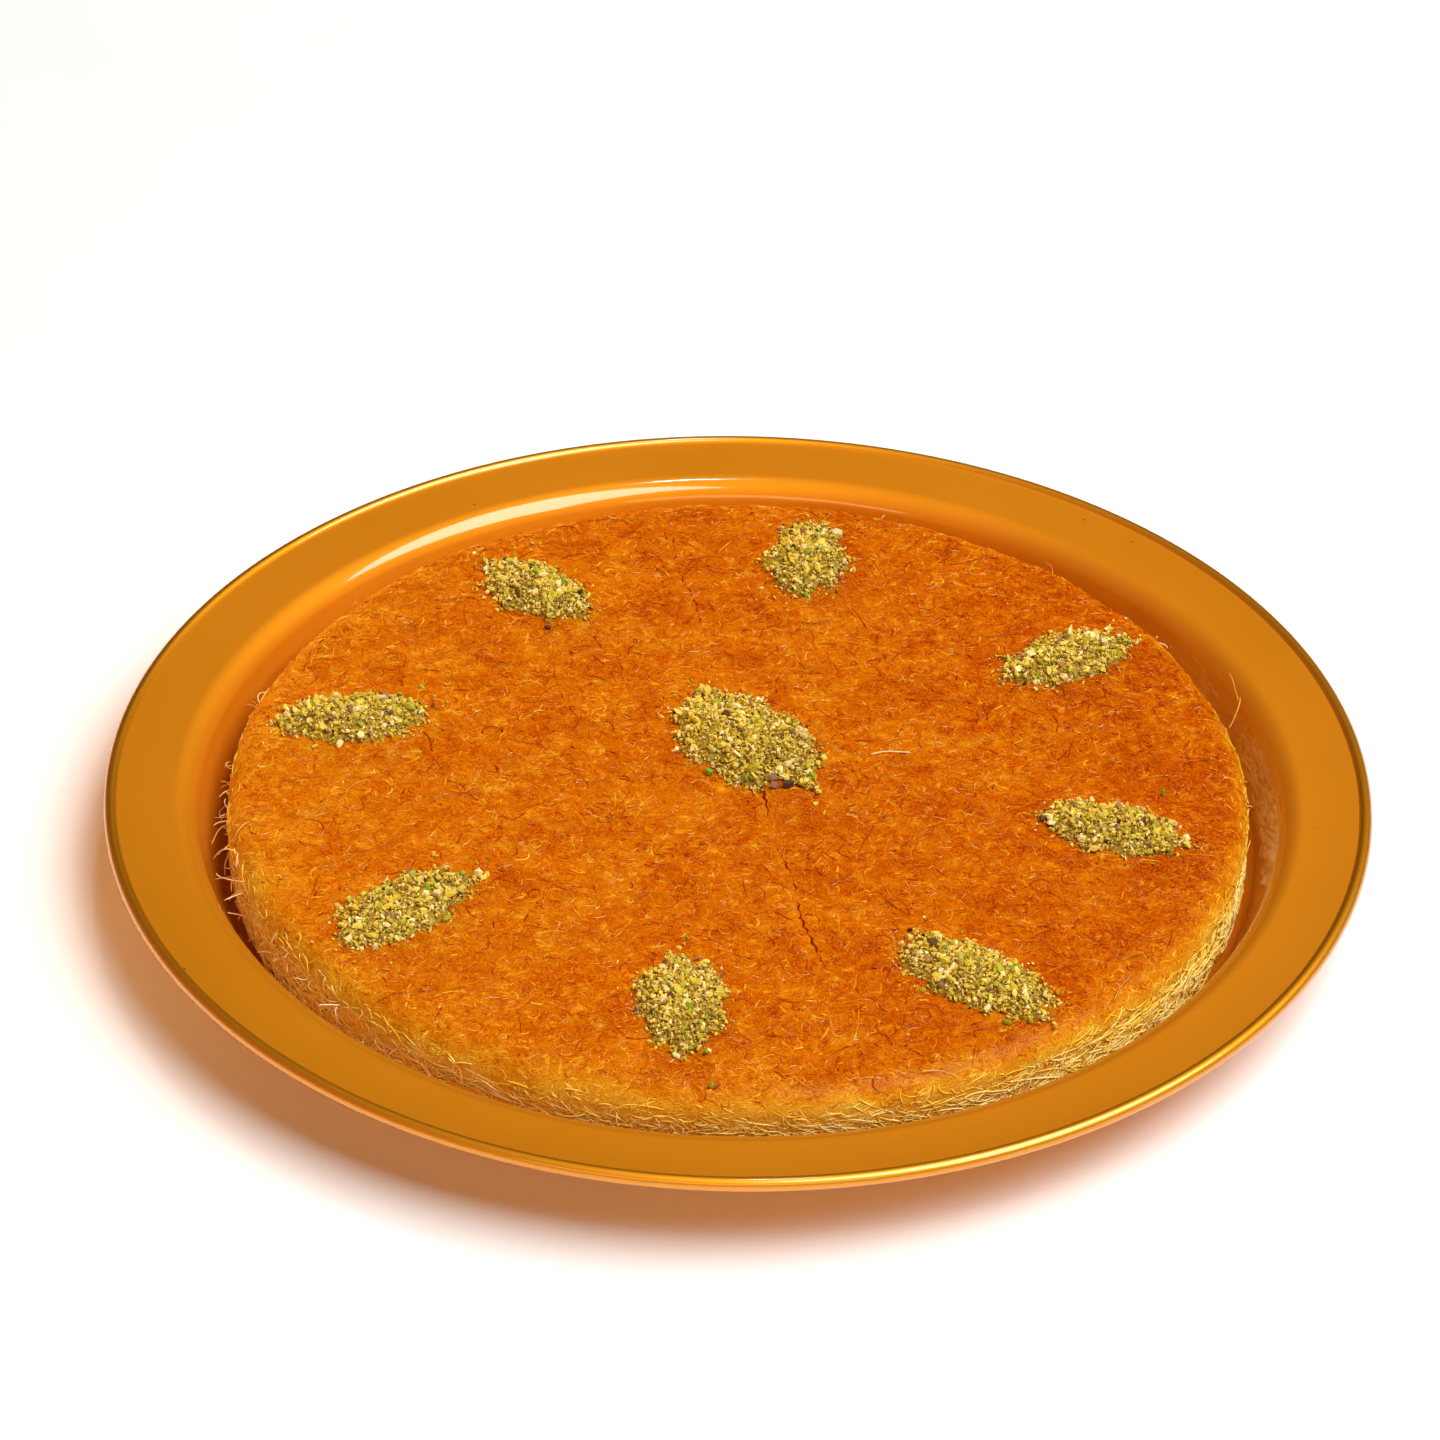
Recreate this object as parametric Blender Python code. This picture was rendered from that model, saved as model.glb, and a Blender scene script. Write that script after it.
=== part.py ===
"""Round shredded-pastry kunafa with nine heaps of crushed pistachio, in its rolled-rim tray. Metres, +Z up,
origin on the table under the middle of the tray."""

import math
import random

import bmesh
import bpy
from mathutils import Vector, noise

MM = 0.001
GAP = 0.3 * MM  # clear space between two pieces that rest on each other

# Tray: one sheet of metal, spun into a well with a sloping wall, a wide flange and a rolled edge
RIM_R = 200.0 * MM
SHEET = 1.2 * MM
BEAD_R = 2.2 * MM  # the edge is rolled into a bead of this radius
BEAD_Z = 26.5 * MM
BEAD_MEETS_FLANGE = math.radians(27)  # above the level of the bead's middle
FLANGE_IN_R = 179.0 * MM
FLANGE_IN_Z = 25.9 * MM
SHOULDER_R = 9.0 * MM  # bend from the flange down into the wall, on the upper side
CORNER_R = 6.0 * MM  # bend from the wall to the floor, on the upper side
WALL_ANGLE = math.radians(70)  # steepness of the wall
TRAY_STEPS = 60

# Kunafa: a baked disc with a crisp browned top, scored into eight portions
KUNAFA_R = 161.3 * MM
KUNAFA_TOP = 28.8 * MM
KUNAFA_BOTTOM = SHEET + GAP
TOP_EDGE_R = 8.0 * MM  # the corner of the baking pan, as the disc is turned out of it upside down
FOOT_IN = 1.5 * MM  # how far the loose lower strands draw in from the end of the tray's flat floor
NET_RINGS = 18  # rings of the top's triangle net; ring k has 6k corners
BUMP_SPAN = 26 * MM
BUMP_DEPTH = 1.7 * MM
TANGLE_SPAN = 9 * MM
TANGLE_DEPTH = 1.7 * MM

# Cuts: eight knife cuts that closed again, so that they show as shallow uneven slits
PORTIONS = 8
FIRST_CUT = math.radians(12.2)
CUT_CROSSING = (4 * MM, 5 * MM)  # the cuts cross a little off the middle
CUT_WIDTH = 1.3 * MM
CUT_DEPTH = 1.9 * MM
CUT_IN_R = 7 * MM
CUT_OUT_R = 150 * MM
CUT_STATIONS = 7
CUT_WANDER = 1.4 * MM

# Pistachio heaps: name, direction from the middle (deg), distance, length, width, height (mm), turn (deg)
HEAPS = (
    ("nuts_centre", 84, 17, 64, 38, 7.0, 44),
    ("nuts_back", 80, 125, 45, 27, 5.6, 8),
    ("nuts_back_right", 32, 125, 50, 25, 5.2, -5),
    ("nuts_right", -13, 120, 48, 26, 5.4, -5),
    ("nuts_front_right", -55, 126, 56, 28, 5.8, 17),
    ("nuts_front", -98, 118, 48, 28, 5.6, 10),
    ("nuts_front_left", -144, 126, 53, 27, 5.6, 5),
    ("nuts_left", 168, 127, 54, 25, 5.2, 18),
    ("nuts_back_left", 124, 121, 46, 28, 5.6, 20),
)
HEAP_CORNERS = 12
HEAP_CURVE = 1.75  # 2 is an ellipse, less is more like a leaf
HEAP_RINGS = ((1.0, 0.0), (0.9, 0.3), (0.56, 0.8))  # share of the outline, share of the height
PIECE_AREA = 71 * MM * MM  # heap area for each crushed piece that is fused on
PIECE_R = (1.3 * MM, 2.5 * MM)
CLEAR_OF_KUNAFA = 0.1 * MM


def material(name, colour, roughness, metallic):
    made = bpy.data.materials.new(name)
    made.use_nodes = True
    shader = made.node_tree.nodes["Principled BSDF"]
    shader.inputs["Base Color"].default_value = (*colour, 1)
    shader.inputs["Roughness"].default_value = roughness
    shader.inputs["Metallic"].default_value = metallic
    made.diffuse_color = (*colour, 1)
    return made


def new_object(name, mesh, look):
    made = bpy.data.objects.new(name, mesh)
    mesh.materials.append(look)
    bpy.context.scene.collection.objects.link(made)
    return made


def solid_mesh(name, corners, faces):
    """A closed mesh from its corners and faces, with the faces turned outwards."""
    net = bmesh.new()
    points = [net.verts.new(corner) for corner in corners]
    for face in faces:
        net.faces.new([points[i] for i in face])
    bmesh.ops.recalc_face_normals(net, faces=net.faces)
    mesh = bpy.data.meshes.new(name)
    net.to_mesh(mesh)
    net.free()
    return mesh


def apply_modifiers(target):
    """Bakes the object's modifiers into its mesh."""
    graph = bpy.context.evaluated_depsgraph_get()
    baked = bpy.data.meshes.new_from_object(target.evaluated_get(graph))
    target.modifiers.clear()
    target.data = baked


def join_shapes(target, shapes, operation):
    """One Boolean of the target with all the shapes, applied, after which the shapes are removed."""
    group = bpy.data.collections.new(target.name + "_shapes")
    bpy.context.scene.collection.children.link(group)
    for shape in shapes:
        bpy.context.scene.collection.objects.unlink(shape)
        group.objects.link(shape)
    change = target.modifiers.new(operation.lower(), "BOOLEAN")
    change.operation = operation
    change.operand_type = "COLLECTION"
    change.collection = group
    change.solver = "EXACT"
    apply_modifiers(target)
    for shape in shapes:
        bpy.data.objects.remove(shape)
    bpy.data.collections.remove(group)


def arc(middle, radius, start, stop, steps):
    """Points (r, z) on an arc; angles count from the outward direction towards up."""
    for i in range(steps + 1):
        angle = start + (stop - start) * i / steps
        yield middle[0] + radius * math.cos(angle), middle[1] + radius * math.sin(angle)


def wall_foot():
    """Radius at which the flat floor ends, so that the two bends and the wall meet without a kink."""
    shoulder_z = FLANGE_IN_Z - SHOULDER_R * (1 - math.cos(WALL_ANGLE))
    corner_z = SHEET + CORNER_R * (1 - math.cos(WALL_ANGLE))
    across = (shoulder_z - corner_z) / math.tan(WALL_ANGLE)
    return FLANGE_IN_R - (SHOULDER_R + CORNER_R) * math.sin(WALL_ANGLE) - across


def tray_outline():
    """The tray's section from the axis along the underside, round the bead and back along the upper side."""
    foot = wall_foot()
    up = math.pi / 2
    corner = (foot, SHEET + CORNER_R)
    shoulder = (FLANGE_IN_R, FLANGE_IN_Z - SHOULDER_R)
    bead = (RIM_R - BEAD_R, BEAD_Z)
    meets_above = math.pi - BEAD_MEETS_FLANGE
    meets_below = math.pi + math.asin((BEAD_R * math.sin(BEAD_MEETS_FLANGE) - SHEET) / -BEAD_R)
    outline = [(0, 0)]
    outline += arc(corner, CORNER_R + SHEET, -up, -up + WALL_ANGLE, 3)
    outline += arc(shoulder, SHOULDER_R - SHEET, up + WALL_ANGLE, up, 3)
    outline += arc(bead, BEAD_R, meets_below, meets_above + math.tau, 8)
    outline += arc(shoulder, SHOULDER_R, up, up + WALL_ANGLE, 4)
    outline += arc(corner, CORNER_R, -up + WALL_ANGLE, -up, 3)
    outline.append((0, SHEET))
    return outline


def make_tray():
    section = bpy.data.meshes.new("tray")
    outline = tray_outline()
    edges = [(i, i + 1) for i in range(len(outline) - 1)]
    section.from_pydata([(r, 0, z) for r, z in outline], edges, [])
    tray = new_object("tray", section, material("gold_aluminium", (0.60, 0.22, 0.018), 0.32, 0.85))
    turn = tray.modifiers.new("turn", "SCREW")
    turn.axis = "Z"
    turn.steps = turn.render_steps = TRAY_STEPS
    turn.use_merge_vertices = True
    turn.merge_threshold = 0.00001
    turn.use_smooth_shade = True
    turn.use_normal_calculate = True
    apply_modifiers(tray)
    tray.data.shade_smooth()
    tray.data.set_sharp_from_angle(angle=math.radians(35))


def heap_frame(heap):
    """Middle of the heap on the kunafa, and the direction of its long side."""
    direction = math.radians(heap[1])
    middle = Vector((math.cos(direction), math.sin(direction))) * heap[2] * MM
    along = direction + math.radians(heap[6])
    return middle, Vector((math.cos(along), math.sin(along)))


def heap_share(point, heap):
    """0 at the middle of the heap, 1 on its outline, more outside."""
    middle, along = heap_frame(heap)
    offset = Vector(point[:2]) - middle
    long_part = abs(offset.dot(along)) / (heap[3] * MM / 2)
    wide_part = abs(offset.cross(along)) / (heap[4] * MM / 2)
    return (long_part**HEAP_CURVE + wide_part**HEAP_CURVE) ** (1 / HEAP_CURVE)


def top_relief(x, y):
    """How far the top lies below its highest level: bumps all over, level where a heap lies."""
    bump = noise.fractal(Vector((x, y, 0)) / BUMP_SPAN, 0.6, 2.1, 3)
    low = BUMP_DEPTH * min(max(0.5 - 0.55 * bump, 0.0), 1.0)
    nearest = min(heap_share((x, y), heap) for heap in HEAPS)
    return low * min(max((nearest - 1.25) / 0.5, 0.0), 1.0)


def tangle(x, y, z, span, depth):
    """Uneven in-and-out of the loose strands at the side."""
    return depth * noise.noise(Vector((x, y, 1.7 * z)) / span)


def kunafa_top_net():
    """Corners and faces of the top: a net of even triangles in rings round the middle."""
    corners = [(0, 0)]
    flat_r = KUNAFA_R - TOP_EDGE_R
    for ring in range(1, NET_RINGS + 1):
        for i in range(6 * ring):
            angle = math.tau * i / (6 * ring)
            radius = flat_r * ring / NET_RINGS
            corners.append((radius * math.cos(angle), radius * math.sin(angle)))
    faces = []
    for ring in range(NET_RINGS):
        inner = 1 + 3 * ring * (ring - 1) if ring else 0
        outer = 1 + 3 * ring * (ring + 1)
        for side in range(6):
            for i in range(ring + 1):
                a = outer + side * (ring + 1) + i
                b = outer + (side * (ring + 1) + i + 1) % (6 * (ring + 1))
                c = inner + (side * ring + i) % max(6 * ring, 1)
                faces.append((a, b, c))
                if i < ring:
                    d = inner + (side * ring + i + 1) % (6 * ring)
                    faces.append((b, d, c))
    return corners, faces


def kunafa_side():
    """(distance from the axis, height, share of the tangle) of each ring down the side."""
    flat_r = KUNAFA_R - TOP_EDGE_R
    height = KUNAFA_TOP - KUNAFA_BOTTOM
    for angle, share in ((30, 0.2), (58, 0.4), (85, 0.8)):
        turn = math.radians(angle)
        drop = BUMP_DEPTH / 2 + TOP_EDGE_R * (1 - math.cos(turn))
        yield flat_r + TOP_EDGE_R * math.sin(turn), KUNAFA_TOP - drop, share
    yield KUNAFA_R, KUNAFA_BOTTOM + 0.4 * height, 1.0
    yield KUNAFA_R - 0.7 * FOOT_IN, KUNAFA_BOTTOM + 0.14 * height, 0.8
    yield wall_foot() - FOOT_IN, KUNAFA_BOTTOM, 0.0


def make_kunafa():
    flat, faces = kunafa_top_net()
    corners = [(x, y, KUNAFA_TOP - top_relief(x, y)) for x, y in flat]
    around = 6 * NET_RINGS
    above = len(corners) - around
    for radius, z, share in kunafa_side():
        below = len(corners)
        for i in range(around):
            angle = math.tau * i / around
            x, y = radius * math.cos(angle), radius * math.sin(angle)
            out = 1 + share * tangle(x, y, z, TANGLE_SPAN, TANGLE_DEPTH) / radius
            lift = share * tangle(y, x, z, TANGLE_SPAN, 0.5 * TANGLE_DEPTH)
            corners.append((x * out, y * out, z + lift))
            j = (i + 1) % around
            faces.append((above + i, below + i, below + j))
            faces.append((above + i, below + j, above + j))
        above = below
    faces.append(tuple(above + i for i in range(around)))
    look = material("baked_pastry", (0.78, 0.17, 0.012), 0.42, 0.0)
    kunafa = new_object("kunafa", solid_mesh("kunafa", corners, faces), look)
    cuts = [make_cut(i, look) for i in range(PORTIONS)]
    join_shapes(kunafa, cuts, "DIFFERENCE")
    kunafa.data.shade_smooth()
    kunafa.data.set_sharp_from_angle(angle=math.radians(40))


def make_cut(index, look):
    """A thin wedge that wanders a little either side of a straight line out from the middle."""
    draw = random.Random(100 + index)
    direction = FIRST_CUT + math.tau * index / PORTIONS
    out = Vector((math.cos(direction), math.sin(direction), 0))
    crossing = Vector((*CUT_CROSSING, 0))
    across = Vector((-out.y, out.x, 0))
    corners = []
    faces = []
    for i in range(CUT_STATIONS):
        share = i / (CUT_STATIONS - 1)
        taper = 0.35 + 0.65 * math.sin(math.pi * share) ** 0.5
        middle = crossing + out * (CUT_IN_R + (CUT_OUT_R - CUT_IN_R) * share)
        middle += across * draw.uniform(-CUT_WANDER, CUT_WANDER) * taper
        half = CUT_WIDTH * taper * draw.uniform(0.6, 1.1)
        top = Vector((0, 0, KUNAFA_TOP + CUT_DEPTH))
        bottom = Vector((0, 0, KUNAFA_TOP - BUMP_DEPTH / 2 - CUT_DEPTH * taper))
        corners += [middle - across * half + top, middle + across * half + top, middle + bottom]
        if i:
            a, b = 3 * (i - 1), 3 * i
            for j in range(3):
                k = (j + 1) % 3
                faces += [(a + j, a + k, b + k), (a + j, b + k, b + j)]
    last = 3 * (CUT_STATIONS - 1)
    faces += [(0, 1, 2), (last, last + 1, last + 2)]
    cut = new_object(f"cut_{index}", solid_mesh("cut", corners, faces), look)
    cut.hide_render = True
    cut.display_type = "WIRE"
    return cut


def heap_outline(share):
    """Corners of the heap's leaf-like outline at this share of its size, for a heap 2 long and 2 wide."""
    for i in range(HEAP_CORNERS):
        angle = math.tau * i / HEAP_CORNERS
        x, y = math.cos(angle), math.sin(angle)
        size = (abs(x) ** HEAP_CURVE + abs(y) ** HEAP_CURVE) ** (-1 / HEAP_CURVE)
        yield share * size * x, share * size * y


def heap_core(heap, draw):
    """The low mound under the loose pieces, in the heap's own frame with its base at z = 0."""
    half_length, half_width, height = heap[3] * MM / 2, heap[4] * MM / 2, heap[5] * MM
    wobble = [draw.uniform(0.86, 1.06) for _ in range(HEAP_CORNERS)]
    corners = []
    faces = [tuple(range(HEAP_CORNERS))]
    for ring, (share, rise) in enumerate(HEAP_RINGS):
        for i, (x, y) in enumerate(heap_outline(share)):
            z = height * rise * draw.uniform(0.85, 1.15)
            corners.append((x * half_length * wobble[i], y * half_width * wobble[i], z))
            if ring:
                a, b = (ring - 1) * HEAP_CORNERS, ring * HEAP_CORNERS
                j = (i + 1) % HEAP_CORNERS
                faces += [(a + i, a + j, b + j), (a + i, b + j, b + i)]
    corners.append((0, 0, height * 0.92))
    top = len(corners) - 1
    last = top - HEAP_CORNERS
    faces += [(last + i, last + (i + 1) % HEAP_CORNERS, top) for i in range(HEAP_CORNERS)]
    return corners, faces


def spread(index, base):
    """The index-th number of an evenly spread sequence between 0 and 1."""
    value, digit = 0.0, 1.0 / base
    while index:
        value += digit * (index % base)
        index //= base
        digit /= base
    return value


def crushed_piece(middle, size, draw, look):
    """One angular crumb of nut: an uneven, turned and flattened ball of twenty facets."""
    net = bmesh.new()
    bmesh.ops.create_icosphere(net, subdivisions=1, radius=size)
    turn = Vector((draw.uniform(-1, 1), draw.uniform(-1, 1), draw.uniform(-1, 1))).to_track_quat("Z", "Y")
    stretch = Vector((draw.uniform(0.8, 1.35), draw.uniform(0.75, 1.1), draw.uniform(0.6, 0.9)))
    for vert in net.verts:
        place = vert.co * draw.uniform(0.85, 1.15)
        place = turn @ Vector((place.x * stretch.x, place.y * stretch.y, place.z * stretch.z)) + middle
        place.z = max(place.z, CLEAR_OF_KUNAFA)
        vert.co = place
    mesh = bpy.data.meshes.new("piece")
    net.to_mesh(mesh)
    net.free()
    return new_object("piece", mesh, look)


def make_heap(heap, look):
    name, _, _, length, width, height, _ = heap
    draw = random.Random(name)
    middle, along = heap_frame(heap)
    mound = new_object(name, solid_mesh(name, *heap_core(heap, draw)), look)
    count = round(math.pi / 4 * length * MM * width * MM / PIECE_AREA)
    sizes = sorted((draw.uniform(*PIECE_R) for _ in range(count)), reverse=True)
    pieces = []
    for i, size in enumerate(sizes):
        out = math.sqrt(spread(i + 1, 2))
        angle = math.tau * spread(i + 1, 3)
        x, y = math.cos(angle), math.sin(angle)
        reach = 0.96 * out * (abs(x) ** HEAP_CURVE + abs(y) ** HEAP_CURVE) ** (-1 / HEAP_CURVE)
        rise = height * MM * 0.85 * (1 - out**2.4)
        place = Vector((reach * x * length * MM / 2, reach * y * width * MM / 2, rise + 0.15 * size))
        pieces.append(crushed_piece(place, size, draw, look))
    join_shapes(mound, pieces, "UNION")
    mound.location = (*middle, KUNAFA_TOP + GAP)
    mound.rotation_euler.z = math.atan2(along.y, along.x)


for old in list(bpy.data.objects):
    bpy.data.objects.remove(old)

make_tray()
make_kunafa()
pistachio = material("crushed_pistachio", (0.40, 0.33, 0.045), 0.75, 0.0)
for one_heap in HEAPS:
    make_heap(one_heap, pistachio)
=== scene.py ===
"""Looks of a round kunafa, pastry threads under syrup, with nine heaps of crushed pistachio, on its tray."""

import math

import bpy
import numpy as np
from mathutils import Matrix, Vector, noise


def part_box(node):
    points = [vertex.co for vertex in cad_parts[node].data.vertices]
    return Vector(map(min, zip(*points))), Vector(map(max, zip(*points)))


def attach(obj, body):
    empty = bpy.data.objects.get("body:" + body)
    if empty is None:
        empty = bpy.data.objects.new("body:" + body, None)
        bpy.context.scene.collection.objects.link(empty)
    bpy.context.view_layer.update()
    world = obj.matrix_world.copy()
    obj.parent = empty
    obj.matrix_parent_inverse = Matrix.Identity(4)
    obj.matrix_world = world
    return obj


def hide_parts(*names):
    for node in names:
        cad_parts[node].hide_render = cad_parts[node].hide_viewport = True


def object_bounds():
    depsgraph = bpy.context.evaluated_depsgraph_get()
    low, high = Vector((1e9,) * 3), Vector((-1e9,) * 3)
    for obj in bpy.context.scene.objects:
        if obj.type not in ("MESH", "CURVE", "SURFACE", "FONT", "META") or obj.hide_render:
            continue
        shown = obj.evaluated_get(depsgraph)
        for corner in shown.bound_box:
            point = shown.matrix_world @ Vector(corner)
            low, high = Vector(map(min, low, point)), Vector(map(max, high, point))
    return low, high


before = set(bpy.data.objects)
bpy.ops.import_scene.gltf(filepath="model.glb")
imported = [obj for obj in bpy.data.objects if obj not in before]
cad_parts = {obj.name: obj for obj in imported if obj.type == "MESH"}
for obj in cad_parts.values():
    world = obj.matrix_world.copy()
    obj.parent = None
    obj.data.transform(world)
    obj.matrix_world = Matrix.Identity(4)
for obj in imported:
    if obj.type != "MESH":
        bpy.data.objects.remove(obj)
cad_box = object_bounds()


# Tray
# A sweet-seller's round tray. It is one disc of aluminium, spun over a former into a shallow well with a
# sloping wall and a wide flange. The edge is rolled over into a bead, and the whole is lacquered deep gold.

MM = 0.001
RIM_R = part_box("tray")[1][0]
SHEET = 1.2 * MM
BEAD_R = 2.2 * MM
BEAD_Z = 26.5 * MM
BEAD_MEETS_FLANGE = math.radians(27)
FLANGE_IN_R = 179.0 * MM
FLANGE_IN_Z = 25.9 * MM
SHOULDER_R = 9.0 * MM
CORNER_R = 6.0 * MM
WALL_ANGLE = math.radians(70)
TURN_STEPS = 240
SPIN_WAVE = 0.10 * MM  # a spun flange is never quite flat
SPIN_LINE = 1.1 * MM  # spacing of the tool's marks, drawn coarser than the real 0.3 mm so that they show
WAVE_PERIOD = math.tau / 20  # distance at which a wave texture of scale 1 repeats
LACQUER_CLOUD = 60 * MM
SPECK_R = 0.5 * MM  # dried drops of syrup
SPECK_GAP = 17 * MM


def arc(middle, radius, start, stop, steps):
    """Points (r, z) on an arc; angles count from the outward direction towards up."""
    angles = np.linspace(start, stop, steps + 1)
    return np.stack([middle[0] + radius * np.cos(angles), middle[1] + radius * np.sin(angles)], 1)


def wall_foot():
    """Radius at which the flat floor ends, so that the two bends and the wall meet without a kink."""
    shoulder_z = FLANGE_IN_Z - SHOULDER_R * (1 - math.cos(WALL_ANGLE))
    corner_z = SHEET + CORNER_R * (1 - math.cos(WALL_ANGLE))
    across = (shoulder_z - corner_z) / math.tan(WALL_ANGLE)
    return FLANGE_IN_R - (SHOULDER_R + CORNER_R) * math.sin(WALL_ANGLE) - across


def well_outline():
    """The upper side of the sheet from the flange down the wall to the floor."""
    up = math.pi / 2
    shoulder = arc((FLANGE_IN_R, FLANGE_IN_Z - SHOULDER_R), SHOULDER_R, up, up + WALL_ANGLE, 14)
    corner = arc((wall_foot(), SHEET + CORNER_R), CORNER_R, WALL_ANGLE - up, -up, 8)
    return np.concatenate([shoulder, corner])


def tray_outline():
    """The tray's section from the axis along the underside, round the bead and back along the upper side."""
    up = math.pi / 2
    corner = (wall_foot(), SHEET + CORNER_R)
    shoulder = (FLANGE_IN_R, FLANGE_IN_Z - SHOULDER_R)
    bead = (RIM_R - BEAD_R, BEAD_Z)
    meets_above = math.pi - BEAD_MEETS_FLANGE
    meets_below = math.pi + math.asin((BEAD_R * math.sin(BEAD_MEETS_FLANGE) - SHEET) / -BEAD_R)
    return np.concatenate([
        [(0, 0)],
        arc(corner, CORNER_R + SHEET, -up, -up + WALL_ANGLE, 8),
        arc(shoulder, SHOULDER_R - SHEET, up + WALL_ANGLE, up, 8),
        arc(bead, BEAD_R, meets_below, meets_above + math.tau, 22),
        well_outline(),
        [(0, SHEET)],
    ])


def ring_faces(rings, around, closed=True):
    """Triangles between rings, or open rows, of corners that follow each other, with this many in each."""
    i = np.arange(around if closed else around - 1)
    j = (i + 1) % around
    start = np.arange(rings - 1)[:, None] * around
    a, b, c, d = start + i, start + j, start + around + j, start + around + i
    return np.concatenate([np.stack([a, b, c], -1), np.stack([a, c, d], -1)]).reshape(-1, 3)


def turned(outline, steps):
    """Corners and triangles of a solid turned about the upright axis, where both ends of its outline lie."""
    angle = math.tau * np.arange(steps) / steps
    r, z = outline[1:-1, :1], outline[1:-1, 1:]
    rings = np.stack([r * np.cos(angle), r * np.sin(angle), z + 0 * angle], -1).reshape(-1, 3)
    under, over = len(rings), len(rings) + 1
    i = np.arange(steps)
    j = (i + 1) % steps
    last = len(rings) - steps
    lower_cap = np.stack([np.full(steps, under), j, i], 1)
    upper_cap = np.stack([np.full(steps, over), last + i, last + j], 1)
    corners = np.concatenate([rings, [(0, 0, outline[0, 1]), (0, 0, outline[-1, 1])]])
    return corners, np.concatenate([ring_faces(len(outline) - 2, steps), lower_cap, upper_cap])


def new_piece(name, corners, faces, material, slot, smooth=True, **values):
    """A mesh that rides on the tray; each named value is one number or one colour for every corner."""
    mesh = bpy.data.meshes.new(name)
    mesh.vertices.add(len(corners))
    mesh.vertices.foreach_set("co", np.asarray(corners, np.float32).ravel())
    mesh.loops.add(faces.size)
    mesh.loops.foreach_set("vertex_index", faces.astype(np.int32).ravel())
    mesh.polygons.add(len(faces))
    mesh.polygons.foreach_set("loop_start", np.arange(0, faces.size, 3, dtype=np.int32))
    mesh.polygons.foreach_set("use_smooth", np.full(len(faces), smooth))
    mesh.update(calc_edges=True)
    for key, value in values.items():
        value = np.asarray(value, np.float32)
        kind, field = ("FLOAT", "value") if value.ndim == 1 else ("FLOAT_COLOR", "color")
        mesh.attributes.new(key, kind, "POINT").data.foreach_set(field, value.ravel())
    mesh.materials.append(material)
    piece = bpy.data.objects.new(name, mesh)
    bpy.context.scene.collection.objects.link(piece)
    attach(piece, "root")
    return piece


def linear(code):
    """Linear red, green, blue and alpha of an sRGB hex colour."""
    parts = [int(code[i:i + 2], 16) / 255 for i in (0, 2, 4)]
    return (*(p / 12.92 if p <= 0.04045 else ((p + 0.055) / 1.055) ** 2.4 for p in parts), 1.0)


def node(material, kind, links=None, stops=None, **settings):
    """Adds one shader node; a link is a socket or a plain value for the input of that name or number, and a
    stop is a place and a colour on a ramp, the two ends first."""
    made = material.node_tree.nodes.new("ShaderNode" + kind)
    for key, value in settings.items():
        setattr(made, key, value)
    for key, value in (links or {}).items():
        if isinstance(value, bpy.types.NodeSocket):
            material.node_tree.links.new(value, made.inputs[key])
        else:
            made.inputs[key].default_value = value
    for i, (place, code) in enumerate(stops or ()):
        stop = made.color_ramp.elements[i] if i < 2 else made.color_ramp.elements.new(place)
        stop.position = place
        stop.color = linear(code)
    return made


def new_material(name):
    """An empty material that is made of nodes."""
    material = bpy.data.materials.new(name)
    material.use_nodes = True
    material.node_tree.nodes.clear()
    return material


def gold_lacquered_spun_aluminium():
    """Satin metal under clear gold lacquer: a broad soft sheen, a sharp cream gloss over it, faint rings."""
    material = new_material("gold_lacquered_spun_aluminium")
    place = node(material, "TexCoord").outputs["Object"]
    rings = node(material, "TexWave", {"Vector": place, "Scale": WAVE_PERIOD / SPIN_LINE, "Distortion": 0.6,
                 "Detail": 2.0, "Detail Scale": 0.02}, wave_type="RINGS", rings_direction="Z")
    cloud = node(material, "TexNoise", {"Vector": place, "Scale": 1 / LACQUER_CLOUD, "Detail": 2.0})
    lacquer = node(material, "ValToRGB", {"Fac": cloud.outputs["Fac"]},
                   stops=[(0.30, "E5991C"), (0.70, "E99D20")])
    drops = node(material, "TexVoronoi", {"Vector": place, "Scale": 1 / SPECK_GAP})
    speck = node(material, "MapRange", {"Value": drops.outputs["Distance"], "From Max": SPECK_R / SPECK_GAP,
                 "From Min": 0.5 * SPECK_R / SPECK_GAP, "To Min": 1.0, "To Max": 0.0})
    colour = node(material, "MixRGB", {"Fac": speck.outputs["Result"], "Color1": lacquer.outputs["Color"],
                  "Color2": linear("7A3C0A")})
    bump = node(material, "Bump", {"Height": rings.outputs["Fac"], "Strength": 0.05, "Distance": 0.1 * MM})
    burnished = node(material, "Attribute", attribute_name="burnished").outputs["Fac"]
    satin = node(material, "MapRange", {"Value": burnished, "To Min": 0.72, "To Max": 0.50})
    shader = node(material, "BsdfPrincipled", {
        "Base Color": colour.outputs["Color"], "Metallic": 1.0, "Roughness": satin.outputs["Result"],
        "Coat Weight": 0.9, "Coat Roughness": 0.08, "Coat IOR": 1.6, "Normal": bump.outputs["Normal"]})
    node(material, "OutputMaterial", {"Surface": shader.outputs["BSDF"]})
    return material


tray_corners, tray_faces = turned(tray_outline(), TURN_STEPS)
tray_angle = np.arctan2(tray_corners[:, 1], tray_corners[:, 0])
tray_wave = np.sin(2 * tray_angle + 0.7) + 0.6 * np.sin(3 * tray_angle + 2.1)  # two and three waves a turn
tray_corners[:, 2] += SPIN_WAVE * tray_wave * (tray_corners[:, 2] / BEAD_Z).clip(0, 1) ** 2
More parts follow.
